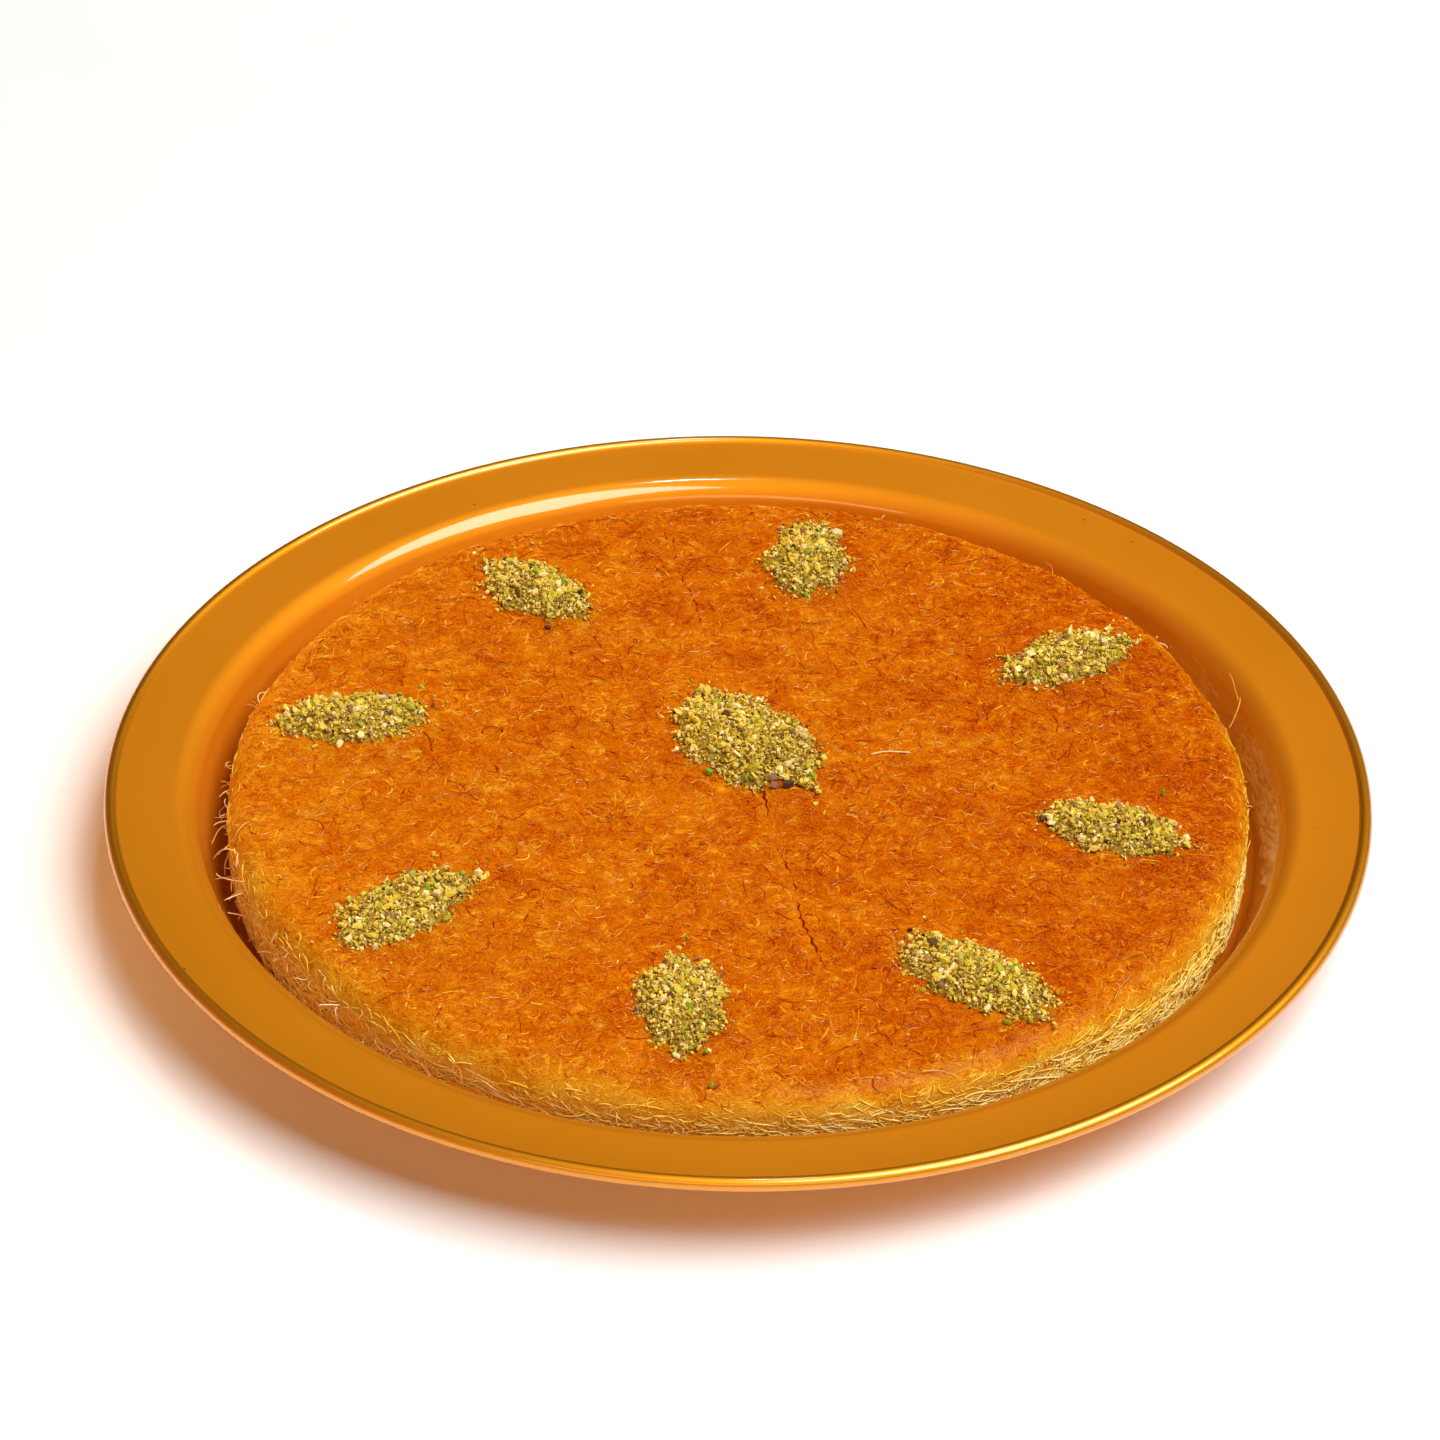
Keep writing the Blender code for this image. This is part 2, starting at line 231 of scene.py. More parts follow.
# The roller that turns the bead over burnishes it
tray_r = np.hypot(tray_corners[:, 0], tray_corners[:, 1])
burnished = ((tray_r - RIM_R + 2 * BEAD_R) / (1 * MM)).clip(0, 1)
tray = new_piece("tray_spun", tray_corners, tray_faces, gold_lacquered_spun_aluminium(), "tray_metal",
                 burnished=burnished)
tray.data.set_sharp_from_angle(angle=math.radians(40))
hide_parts("tray")


# Kunafa disc
# A disc of kadaif, pastry drawn into threads, pressed round its filling and baked in a pan. It is turned out
# upside down, so that the top is the browned underside with the pan's rounded corner, and soaked in syrup.

KUNAFA_R = 161.3 * MM
KUNAFA_TOP = 28.8 * MM
KUNAFA_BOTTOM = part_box("kunafa")[0][2]
TOP_EDGE_R = 8.0 * MM
FLAT_R = KUNAFA_R - TOP_EDGE_R
BEND = math.radians(85)  # the edge bends down this far before the straight side
EDGE_RUN = TOP_EDGE_R * BEND
SIDE_RUN = KUNAFA_TOP - 1.5 * MM - TOP_EDGE_R - KUNAFA_BOTTOM
LOOSE_FROM = 11 * MM  # this far down over the edge the pan stops pressing the threads
LOOSE_ALL = 17 * MM  # and here they are all loose
SIDE_IN = 0.5 * MM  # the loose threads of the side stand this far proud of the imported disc
FOOT_R = wall_foot() - 1.5 * MM
BUMP_SPAN = 26 * MM
BUMP_DEPTH = 1.7 * MM
FINE_SPAN = 5.0 * MM
FINE_DEPTH = 0.40 * MM
NET_RINGS = 112
EDGE_RINGS = 11
SIDE_RINGS = 12

PORTIONS = 8
FIRST_CUT = math.radians(12.2)
CUT_CROSSING = np.array([4, 5]) * MM
CUT_DEPTH = 0.6 * MM
CUT_WIDTH = 1.6 * MM
CUT_OUT_R = 150 * MM
CUT_WANDER = 0.8 * MM
CUT_BEND = 7 * MM  # lengths of its slow bends and of its jags
CUT_JAG = 0.7 * MM
CUT_PALE = np.array([0.9, 0.7, 0.3, 0.3, 0.2, 0.8, 0.4, 0.3])  # how pale the pastry is along each cut
CUT_PALE_WIDTH = 3.8 * MM
# A cut, the stretch (mm) where it has opened again and how far it has
CUT_OPEN = ((2, 78, 142, 0.7), (6, 5, 28, 1.6), (6, 40, 106, 0.9))
SLIT = 0.60 * MM  # half the width of an open cut
SLIT_DEPTH = 1.0 * MM
# Rings that bubbles against the pan left: place, length and width (mm)
RING_MARKS = ((-76.8, -5.4, 13, 11), (-45.8, 11.7, 6, 6), (-39, -18.7, 14, 12))
RING_DEPTH = 0.25 * MM

# Pistachio heaps, under which the top is level: direction (deg), distance, length, width, height (mm), turn
HEAPS = {
    "nuts_centre": (84, 17, 64, 38, 7.0, 44),
    "nuts_back": (80, 125, 45, 27, 5.6, 8),
    "nuts_back_right": (32, 125, 50, 25, 5.2, -5),
    "nuts_right": (-13, 120, 48, 26, 5.4, -5),
    "nuts_front_right": (-55, 126, 56, 28, 5.8, 17),
    "nuts_front": (-98, 118, 48, 28, 5.6, 10),
    "nuts_front_left": (-144, 126, 53, 27, 5.6, 5),
    "nuts_left": (168, 127, 54, 25, 5.2, 18),
    "nuts_back_left": (124, 121, 46, 28, 5.6, 20),
}
HEAP_CURVE = 1.75  # 2 is an ellipse, less is more like a leaf

# How far the pastry is baked, 0 pale to 1 dark, at distances (mm) past the flat top and down over the edge
BAKED_BY_EDGE = ((-1, 0.75), (3, 0.69), (7, 0.58), (10, 0.42), (14, 0.25), (20, 0.15))
MOST_BAKED = 0.84
EDGE_STRAY = 3.0 * MM  # how far the pale edge strays in and out
EDGE_SPAN = 22 * MM
PAN_COOL = math.radians(-135)  # the pan was coolest here, so that the pale edge is this much wider
EDGE_COOL = 1.4 * MM
PAN_HOT = math.radians(5)  # and hottest here, so that the crust is darker
# Sizes of the patches, the specks and the pale flakes of the crust
PATCH_SPAN = 17 * MM
SPECK_SPAN = 5 * MM
FLAKE_SPAN = 3.2 * MM
# Colours of syrup-soaked threads from hardly baked to dark; the darkest are also painted shade in open cuts
CRUST = ((0.0, "EACC80"), (1.0, "6A1C00"), (0.2, "E0B840"), (0.4, "D6981E"), (0.58, "C6760A"),
         (0.72, "B65C02"), (0.90, "9C3600"))


def rough(x, y, z, span, octaves):
    """Fractal noise, about -1 to 1, at each place."""
    places = np.stack(np.broadcast_arrays(x, y, z), -1).reshape(-1, 3) / span
    return np.array([noise.fractal(p, 0.6, 2.1, octaves) for p in places]).reshape(np.shape(x))


def heap_frame(heap):
    """Middle of the heap, and the directions along and across it."""
    direction = math.radians(heap[0])
    middle = np.array([math.cos(direction), math.sin(direction)]) * heap[1] * MM
    turned_by = direction + math.radians(heap[5])
    along = np.array([math.cos(turned_by), math.sin(turned_by)])
    return middle, along, np.array([-along[1], along[0]])


def heap_share(x, y, heap):
    """0 at the middle of the heap, 1 on its outline, more outside."""
    middle, along, across = heap_frame(heap)
    dx, dy = x - middle[0], y - middle[1]
    long_part = np.abs(dx * along[0] + dy * along[1]) / (heap[2] * MM / 2)
    wide_part = np.abs(dx * across[0] + dy * across[1]) / (heap[3] * MM / 2)
    return (long_part**HEAP_CURVE + wide_part**HEAP_CURVE) ** (1 / HEAP_CURVE)


def cut_place(x, y):
    """Signed distance to the nearest of the wandering cuts, how far out along it, and which cut it is."""
    nearest = np.full(np.shape(x), 1.0)
    out = np.zeros(np.shape(x))
    which = np.zeros(np.shape(x), int)
    for i in range(PORTIONS):
        direction = FIRST_CUT + math.tau * i / PORTIONS
        dx, dy = x - CUT_CROSSING[0], y - CUT_CROSSING[1]
        ahead = dx * math.cos(direction) + dy * math.sin(direction)
        wander = CUT_WANDER * (np.sin(ahead / CUT_BEND + 2 * i) + 0.5 * np.sin(ahead / CUT_JAG + 5 * i))
        aside = dy * math.cos(direction) - dx * math.sin(direction) - wander
        closer = (ahead > 0) & (np.abs(aside) < np.abs(nearest))
        nearest = np.where(closer, aside, nearest)
        out = np.where(closer, ahead, out)
        which = np.where(closer, i, which)
    return nearest, out, which


def cut_open(out, which):
    """1 where the cut has opened again, 0 where it is closed, uneven between the two."""
    most = np.zeros(np.shape(out))
    for i, start, stop, most_open in CUT_OPEN:
        inside = np.minimum(out - start * MM, stop * MM - out) / (5 * MM)
        most = np.maximum(most, np.where(which == i, most_open * inside.clip(0, 1), 0))
    return most * (0.7 + 1.4 * rough(out, which * MM, 0.0, 5 * MM, 2)).clip(0, 1)


def ring_mark(x, y):
    """1 on the ring marks, falling to 0 inside and outside them."""
    most = np.zeros(np.shape(x))
    for mark_x, mark_y, length, width in RING_MARKS:
        share = np.hypot((x - mark_x * MM) / (length / 2 * MM), (y - mark_y * MM) / (width / 2 * MM))
        most = np.maximum(most, np.exp(-(((share - 0.8) / 0.35) ** 2)))
    return most


def top_height(x, y):
    """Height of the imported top, before its finest unevenness."""
    bump = rough(x, y, 0.0, BUMP_SPAN, 3)
    low = BUMP_DEPTH * np.clip(0.5 - 0.55 * bump, 0, 1)
    nearest = np.min([heap_share(x, y, heap) for heap in HEAPS.values()], axis=0)
    return KUNAFA_TOP - low * np.clip((nearest - 1.25) / 0.5, 0, 1)


def drape(u, v, lift):
    """Places on the disc for a flat cloth's places (u, v), laid over the top, the edge and the side."""
    along = np.hypot(u, v)
    out = np.stack([u, v], -1) / np.maximum(along, MM)[..., None]
    bend = np.clip((along - FLAT_R) / TOP_EDGE_R, 0, BEND)
    down = np.maximum(along - FLAT_R - EDGE_RUN, 0)
    r = np.minimum(along, FLAT_R) + TOP_EDGE_R * np.sin(bend) + lift * np.sin(bend)
    inside = np.minimum(along, FLAT_R)[..., None] * out
    top = top_height(inside[..., 0], inside[..., 1])
    z = top - TOP_EDGE_R * (1 - np.cos(bend)) - down + lift * np.cos(bend)
    return np.concatenate([r[..., None] * out, z[..., None]], -1)


def disc_net(rings, radius):
    """Corners and triangles of a flat disc: ring k has 6k corners, so that the triangles stay even."""
    corners = [np.zeros((1, 2))]
    faces = []
    for ring in range(rings):
        angle = math.tau * np.arange(6 * (ring + 1)) / (6 * (ring + 1))
        corners.append(radius * (ring + 1) / rings * np.stack([np.cos(angle), np.sin(angle)], 1))
        inner = 1 + 3 * ring * (ring - 1) if ring else 0
        outer = 1 + 3 * ring * (ring + 1)
        side, i = np.repeat(np.arange(6), ring + 1), np.tile(np.arange(ring + 1), 6)
        a = outer + side * (ring + 1) + i
        b = outer + (side * (ring + 1) + i + 1) % (6 * (ring + 1))
        c = inner + (side * ring + i) % max(6 * ring, 1)
        d = inner + (side * ring + i + 1) % max(6 * ring, 1)
        faces += [np.stack([a, b, c], 1), np.stack([b, d, c], 1)[i < ring]]
    return np.concatenate(corners), np.concatenate(faces)


def browning(x, y, z, along):
    """How far the pastry is baked, from 0, pale, to 1, dark: most on top, least at the foot of the side."""
    direction = np.arctan2(y, x)
    wider = EDGE_STRAY * rough(x, y, z, EDGE_SPAN, 3) + EDGE_COOL * np.cos(direction - PAN_COOL)
    over_edge = along - FLAT_R + wider
    by_edge = np.interp(over_edge / MM, *zip(*BAKED_BY_EDGE))
    by_heat = np.cos(direction - PAN_HOT) * (np.hypot(x, y) / KUNAFA_R) ** 2
    patch = rough(x, y, z + 0.3, PATCH_SPAN, 4)
    speck = rough(x, y, z + 0.7, SPECK_SPAN, 3)
    flake = (rough(x, y, z + 0.9, FLAKE_SPAN, 2) - 0.25).clip(0, 0.8)
    aside, out, which = cut_place(x, y)
    near_cut = np.exp(-((aside / CUT_PALE_WIDTH) ** 2)) * np.clip(1.2 - out / CUT_OUT_R, 0, 1)
    by_cut = CUT_PALE[which] * near_cut * np.clip(0.7 + 1.2 * patch, 0.1, 1.2)
    darker = 0.08 * by_heat + 0.08 * patch + 0.07 * speck
    paler = 0.32 * flake + 0.15 * by_cut + 0.10 * ring_mark(x, y)
    on_top = np.clip(1 - over_edge / (12 * MM), 0.3, 1)
    return np.clip(by_edge + on_top * (darker - paler), 0, MOST_BAKED)


def fine_relief(place):
    """Height of the finest unevenness at places (..., 3)."""
    return FINE_DEPTH * (rough(*np.moveaxis(place, -1, 0), FINE_SPAN, 2) - 1)


def cut_groove(aside, out, along):
    """How far the top dips along a closed cut."""
    return CUT_DEPTH * np.exp(-((aside / CUT_WIDTH) ** 2)) * (out < CUT_OUT_R) * (along < FLAT_R)


def loose(along):
    """0 where the pan pressed the threads, 1 down the side where they are loose."""
    return np.clip((along - FLAT_R - LOOSE_FROM) / (LOOSE_ALL - LOOSE_FROM), 0, 1)


MAT_SWIRL = 9 * MM  # size of the swirls in which the threads lie
MAT_RUN = 5 * MM  # length and width of the streak that one half-sunk thread makes
MAT_WIDTH = 0.38 * MM
MAT_TURNS = (0.2, 1.15, 2.2, 2.9)  # directions (rad) of the four layers that show


def syrup_soaked_kadaif():
    """The pressed mat: amber to fox-red, streaked by the threads in it, soft and a little translucent."""
    material = new_material("syrup_soaked_kadaif")
    place = node(material, "TexCoord").outputs["Object"]
    baked = node(material, "Attribute", attribute_name="baked").outputs["Fac"]
    aside = node(material, "Attribute", attribute_name="cut_aside").outputs["Fac"]
    opened = node(material, "Attribute", attribute_name="cut_open").outputs["Fac"]
    swirl = node(material, "TexNoise", {"Vector": place, "Scale": 1 / MAT_SWIRL, "Detail": 1.0})
    shift = node(material, "VectorMath", {0: swirl.outputs["Color"], 1: (MAT_SWIRL,) * 3},
                 operation="MULTIPLY")
    bent = node(material, "VectorMath", {0: place, 1: shift.outputs["Vector"]}, operation="ADD")
    felt = 0.0
    for turn in MAT_TURNS:
        lay = node(material, "Mapping", {"Vector": bent.outputs["Vector"], "Rotation": (0, 0, turn),
                   "Scale": (MAT_RUN, MAT_WIDTH, MAT_WIDTH)}, vector_type="TEXTURE")
        streak = node(material, "TexNoise", {"Vector": lay.outputs["Vector"], "Scale": 1.0, "Detail": 0.0})
        most = node(material, "Math", {0: felt, 1: streak.outputs["Fac"]}, operation="MAXIMUM")
        felt = most.outputs["Value"]
    lighter = node(material, "MapRange", {"Value": felt, "From Min": 0.52, "From Max": 0.74, "To Min": 0.12,
                   "To Max": -0.12})
    # Painted shade: along the middle of an open cut the crust is drawn darker, where shade falls into the
    # gap
    half_width = node(material, "Math", {0: opened, 1: SLIT}, operation="MULTIPLY")
    near = node(material, "Math", {0: aside}, operation="ABSOLUTE")
    inside = node(material, "Math", {0: half_width.outputs["Value"], 1: near.outputs["Value"]},
                  operation="SUBTRACT")
    painted_slit_shade = node(material, "MapRange", {"Value": inside.outputs["Value"], "From Min": 0.0,
                "From Max": 0.25 * MM, "To Min": 0.0, "To Max": 0.38})
    tone = node(material, "Math", {0: baked, 1: lighter.outputs["Result"]}, operation="ADD")
    depth = node(material, "Math", {0: tone.outputs["Value"], 1: painted_slit_shade.outputs["Result"]}, operation="ADD")
    crust = node(material, "ValToRGB", {"Fac": depth.outputs["Value"]}, stops=CRUST)
    bump = node(material, "Bump", {"Height": felt, "Strength": 0.5, "Distance": 0.5 * MM})
    shader = node(material, "BsdfPrincipled", {
        "Base Color": crust.outputs["Color"], "Roughness": 0.5, "IOR": 1.45, "Specular IOR Level": 0.10,
        "Specular Tint": linear("FF9A3C"), "Coat Weight": 0.06, "Coat Roughness": 0.2, "Coat IOR": 1.45,
        "Normal": bump.outputs["Normal"],
        "Subsurface Weight": 0.3, "Subsurface Radius": (1.0, 0.45, 0.15), "Subsurface Scale": 1.5 * MM})
    node(material, "OutputMaterial", {"Surface": shader.outputs["BSDF"]})
    return material


# The top is a flat net, and the edge and the side are rings that go on from the net's outermost one
top_net, disc_faces = disc_net(NET_RINGS, FLAT_R)
around = 6 * NET_RINGS
rim_angle = math.tau * np.arange(around) / around
along_down = np.concatenate([FLAT_R + EDGE_RUN * np.arange(1, EDGE_RINGS + 1) / EDGE_RINGS,
                             FLAT_R + EDGE_RUN + SIDE_RUN * np.arange(1, SIDE_RINGS) / SIDE_RINGS])
side_uv = along_down[:, None, None] * np.stack([np.cos(rim_angle), np.sin(rim_angle)], -1)
disc_uv = np.concatenate([top_net, side_uv.reshape(-1, 2)])
disc_along = np.hypot(disc_uv[:, 0], disc_uv[:, 1])
disc_corners = drape(disc_uv[:, 0], disc_uv[:, 1], -SIDE_IN * loose(disc_along))
aside, out, which = cut_place(disc_corners[:, 0], disc_corners[:, 1])
pressed = RING_DEPTH * ring_mark(disc_corners[:, 0], disc_corners[:, 1])
disc_corners[:, 2] += fine_relief(disc_corners) - cut_groove(aside, out, disc_along) - pressed
foot = np.stack([FOOT_R * np.cos(rim_angle), FOOT_R * np.sin(rim_angle), 0 * rim_angle + KUNAFA_BOTTOM], 1)
above = len(disc_corners) - around * (EDGE_RINGS + SIDE_RINGS)
disc_corners = np.concatenate([disc_corners, foot, [(0, 0, KUNAFA_BOTTOM)]])
side_faces = above + ring_faces(EDGE_RINGS + SIDE_RINGS + 1, around)[:, ::-1]
base = len(disc_corners) - 1
foot_row = np.arange(base - around, base)
base_faces = np.stack([np.full(around, base), np.roll(foot_row, -1), foot_row], 1)
disc_along = np.concatenate([disc_along, np.full(around + 1, along_down[-1])])
aside, out, which = cut_place(disc_corners[:, 0], disc_corners[:, 1])
disc_baked = browning(*disc_corners.T, disc_along)
kadaif = syrup_soaked_kadaif()
disc = new_piece("kunafa_disc", disc_corners, np.concatenate([disc_faces, side_faces, base_faces]), kadaif,
                 "pastry", baked=disc_baked, cut_aside=aside, cut_open=cut_open(out, which))
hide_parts("kunafa")


# Threads of the top
# The kadaif itself, threads of batter 0.5 to 0.9 mm thick that the pan pressed into a mat. They lie half
# sunk in each other in every direction, in short bows and curls, stuck down by the syrup, over the edge as
# well. Long thin ones lie across them.

# Points along a thread, its usual length (mm), least and most radius (mm), curl (1/mm), how much darker than
# the mat it is and how uneven, and how far above the mat it lies (mm)
SHORT_THREAD = (5, 3.9, 0.24, 0.44, 0.20, -0.03, 0.13, 0.0)
LONG_THREAD = (9, 8.0, 0.16, 0.27, 0.11, 0.07, 0.14, 0.12)
# How many threads, the least and most distance from the middle, and the kind
LAYS = {
    "top_threads_1": (9500, 0, FLAT_R + 2 * MM, SHORT_THREAD),
    "top_threads_2": (9500, 0, FLAT_R + 2 * MM, SHORT_THREAD),
    "edge_threads": (6200, FLAT_R - 4 * MM, FLAT_R + 16 * MM, SHORT_THREAD),
    "long_threads": (1600, 0, FLAT_R + 3 * MM, LONG_THREAD),
}
ROUND_FROM = 2.5 * MM  # past the flat top the pan's corner laid the threads round the edge
LAY_SPAN = 16 * MM  # threads lie roughly alike over this distance
# Sections of a thread, across and up, in its own radius: half sunk in the mat, or whole
HALF_SUNK = ((1.0, -0.5), (0.0, 0.4), (-1.0, -0.5))
WHOLE = ((0.0, 1.0), (-0.87, -0.5), (0.87, -0.5))


def thread_lengths(usual, spread, least, most, count, draw):
    """Uneven lengths, most of them near the usual one (mm) and none past the least and the most."""
    return draw.lognormal(math.log(usual), spread, count).clip(least, most) * MM


def thread_lines(turn, points, length, curl, draw):
    """Flat threads (thread, point, 2) with their middle at the origin, bent by a curl that changes."""
    count = len(turn)
    run = np.linspace(-0.5, 0.5, points) * length[:, None]
    bow = curl[:, None] * draw.normal(0, 1, (count, 1))
    sway = curl[:, None] * draw.normal(0, 1.3, (count, 1))
    wave = draw.uniform(4 * MM, 12 * MM, (count, 1))
    swing = sway * wave / 2 * np.sin(run / wave + draw.uniform(0, math.tau, (count, 1)))
    heading = turn[:, None] + bow * run + swing
    step = length[:, None] / (points - 1)
    x = np.cumsum(np.cos(heading) * step, 1)
    y = np.cumsum(np.sin(heading) * step, 1)
    middle = points // 2
    return np.stack([x - x[:, middle, None], y - y[:, middle, None]], -1)


def threads(lines, up, radius, section=WHOLE):
    """Corners and triangles of thin-ended threads of one section along rows of points (thread, point, 3)."""
    count, points = lines.shape[:2]
    ahead = np.gradient(lines, axis=1)
    across = np.cross(up, ahead)
    across /= np.linalg.norm(across, axis=-1, keepdims=True) + 1e-12
    above = np.cross(ahead, across)
    above /= np.linalg.norm(above, axis=-1, keepdims=True) + 1e-12
    ends = np.ones(points)
    ends[[0, -1]] = 0.45
    sideways, upward = np.array(section).T[:, :, None]
    spoke = sideways * across[:, :, None] + upward * above[:, :, None]
    corners = lines[:, :, None] + (radius[:, None] * ends)[:, :, None, None] * spoke
    one = ring_faces(points, 3, section is WHOLE)
    if section is WHOLE:
        last = (points - 1) * 3
        one = np.concatenate([one, [[0, 2, 1], [last, last + 1, last + 2]]])
    faces = (np.arange(count)[:, None, None] * points * 3 + one).reshape(-1, 3)
    return corners.reshape(-1, 3), faces


def per_corner(values, points):
    """One number per thread, or per point of each thread, repeated for every corner."""
    values = np.broadcast_to(values.reshape(len(values), -1), (len(values), points))
    return np.repeat(values, 3, axis=1).ravel()


def outward(u, v):
    """The direction square to the disc's surface at a flat cloth's places."""
    along = np.hypot(u, v)
    bend = np.clip((along - FLAT_R) / TOP_EDGE_R, 0, BEND)[..., None]
    level = np.stack([u, v, 0 * u], -1) / np.maximum(along, MM)[..., None]
    return level * np.sin(bend) + np.array([0, 0, 1]) * np.cos(bend)


def thread_colour(material, span, detail, uneven, stops):
    """The colour that a thread's baking gives it, uneven along it over this span."""
    place = node(material, "TexCoord").outputs["Object"]
    baked = node(material, "Attribute", attribute_name="baked").outputs["Fac"]
    fleck = node(material, "TexNoise", {"Vector": place, "Scale": 1 / span, "Detail": detail})
    spread = node(material, "MapRange", {"Value": fleck.outputs["Fac"], "From Min": 0.3, "From Max": 0.7,
                  "To Min": -uneven, "To Max": uneven})
    depth = node(material, "Math", {0: baked, 1: spread.outputs["Result"]}, operation="ADD")
    return node(material, "ValToRGB", {"Fac": depth.outputs["Value"]}, stops=stops).outputs["Color"]


def syrup_glazed_thread():
    """One thread under syrup: clear amber with a bright thin gloss, its colour uneven along it."""
    material = new_material("syrup_glazed_thread")
    shader = node(material, "BsdfPrincipled", {
        "Base Color": thread_colour(material, 1.4 * MM, 1.0, 0.08, CRUST),
        "Roughness": 0.4, "IOR": 1.45, "Specular IOR Level": 0.15, "Specular Tint": linear("FFB060"),
        "Coat Weight": 0.16, "Coat Roughness": 0.12, "Coat IOR": 1.45})
    node(material, "OutputMaterial", {"Surface": shader.outputs["BSDF"]})
    return material


glazed_thread = syrup_glazed_thread()
for seed, (name, (count, inner, outer, kind)) in enumerate(LAYS.items()):
    points, usual, thin, thick, curliness, darker, uneven, rise = kind
    draw = np.random.default_rng(40 + seed)
    reach = np.sqrt(draw.uniform(inner**2, outer**2, count))
    angle = draw.uniform(0, math.tau, count)
    middle = reach[:, None] * np.stack([np.cos(angle), np.sin(angle)], 1)
    # It lies much as its neighbours do, and along the edge where the pan's corner laid it
    turn = math.pi * rough(middle[:, 0], middle[:, 1], 0.5, LAY_SPAN, 2) + draw.normal(0, 0.9, count)
    round_edge = angle + math.pi / 2 + draw.normal(0, 0.45, count)
    turn = np.where(reach > FLAT_R + ROUND_FROM, round_edge, turn)
    length = thread_lengths(usual, 0.42, 1.8, 20, count, draw)
    curl = draw.gamma(2.0, curliness / MM, count)
    lines = middle[:, None] + thread_lines(turn, points, length, curl, draw)
    u, v = lines[..., 0], lines[..., 1]
    along = np.hypot(u, v)
    radius = draw.uniform(thin, thick, count) * MM
    # Its middle arches a little out of the mat and its ends dip into it
    arch = np.sin(np.linspace(0, math.pi, points)) ** 0.5
    lift = radius[:, None] * (draw.uniform(-0.3, 0.5, (count, 1)) + 0.8 * arch - 0.8) + rise * MM
    place = drape(u, v, lift - 0.6 * SIDE_IN * loose(along))
    place[..., 2] += fine_relief(place)
    # Across a cut it dips with the groove, and deeper into an open one
    aside, out, which = cut_place(place[..., 0], place[..., 1])
    place[..., 2] -= cut_groove(aside, out, along)
    place[..., 2] -= SLIT_DEPTH * cut_open(out, which) * np.exp(-((aside / (2 * SLIT)) ** 2))
    corners, faces = threads(place, outward(u, v), radius, HALF_SUNK)
    tone = browning(*np.moveaxis(place, -1, 0), along) + draw.normal(darker, uneven, (count, 1))
    # Painted shade: a thread lying in an open cut is drawn darker
    tone += 0.15 * cut_open(out, which) * np.exp(-((aside / (1.5 * SLIT)) ** 2))
    new_piece(name, corners, faces, glazed_thread, "pastry", baked=per_corner(tone.clip(0, 0.92), points))


# Threads of the side
# The same threads where the pan did not press or brown them: pale, dry and loose, in a tangle round the
# side with dark gaps between, the deepest threads drawn darker as painted shade.

SIDE_THREADS = 3800
SIDE_POINTS = 7
SIDE_FROM = 10 * MM  # they start this far down over the edge


def pale_kadaif():
    """Threads that were only dried by the oven: straw to cream, matt and a little uneven."""
    material = new_material("pale_kadaif")
    stops = ((0.0, "FAEAA4"), (1.0, "A04C06"), (0.2, "F8DA60"), (0.4, "F0BC2C"), (0.65, "E09412"))
    shader = node(material, "BsdfPrincipled", {
        "Base Color": thread_colour(material, 3 * MM, 3.0, 0.06, stops),
        "Roughness": 0.55, "IOR": 1.45, "Specular IOR Level": 0.08})
    node(material, "OutputMaterial", {"Surface": shader.outputs["BSDF"]})
    return material


draw = np.random.default_rng(60)
length = thread_lengths(13, 0.4, 6, 32, SIDE_THREADS, draw)
curl = draw.gamma(2.0, 0.07 / MM, SIDE_THREADS)
lines = thread_lines(draw.uniform(0, math.tau, SIDE_THREADS), SIDE_POINTS, length, curl, draw)
# They run more round the side than down it
lines[..., 1] *= 0.5
side_angle = draw.uniform(0, math.tau, SIDE_THREADS)
down = SIDE_FROM + (SIDE_RUN + 1.0 * MM) * draw.uniform(0, 1, (SIDE_THREADS, 1)) ** 0.85 + lines[..., 1]
aslant = side_angle[:, None] + lines[..., 0] / KUNAFA_R
along = FLAT_R + np.clip(down, SIDE_FROM - 2 * MM, EDGE_RUN + SIDE_RUN - 0.6 * MM)
depth = -SIDE_IN * draw.uniform(0.0, 1.0, (SIDE_THREADS, 1)) ** 1.5
swing = draw.normal(0, 0.4, (SIDE_THREADS, 1)) * MM * np.linspace(-1, 1, SIDE_POINTS)
place = drape(along * np.cos(aslant), along * np.sin(aslant), depth + swing)
side_out = np.stack([np.cos(aslant), np.sin(aslant), 0 * aslant], -1)
radius = draw.uniform(0.20 * MM, 0.32 * MM, SIDE_THREADS)
corners, faces = threads(place, side_out, radius)
tone = browning(*np.moveaxis(place, -1, 0), along) + draw.normal(-0.04, 0.08, (SIDE_THREADS, 1))
# Painted shade: the threads that lie deepest in the tangle are drawn darker
tone += 0.4 * np.maximum(-depth / SIDE_IN - 0.7, 0)
pale = pale_kadaif()
new_piece("side_threads", corners, faces, pale, "pastry", baked=per_corner(tone.clip(0, 1), SIDE_POINTS))


# Loose strands
# Ends and loops of thread that sprang out of the edge when the pastry was turned out of its pan, and single
# strands that fell on the top. The syrup missed them, so they are cream, a little pink. Short pale threads
# strewn all over the top are painted glints, standing for the syrup's gloss where it catches the light.

SPRUNG = 240
SPRUNG_POINTS = 12
SPRUNG_MOST_AT = math.radians(203)  # where most of them stand out
SPRUNG_CROWDED = 0.7  # the share of them that stands out round there
# Short pale threads all over the top, drawn as painted glints of the syrup's gloss
GLINT_THREADS = 2000
GLINT_POINTS = 4
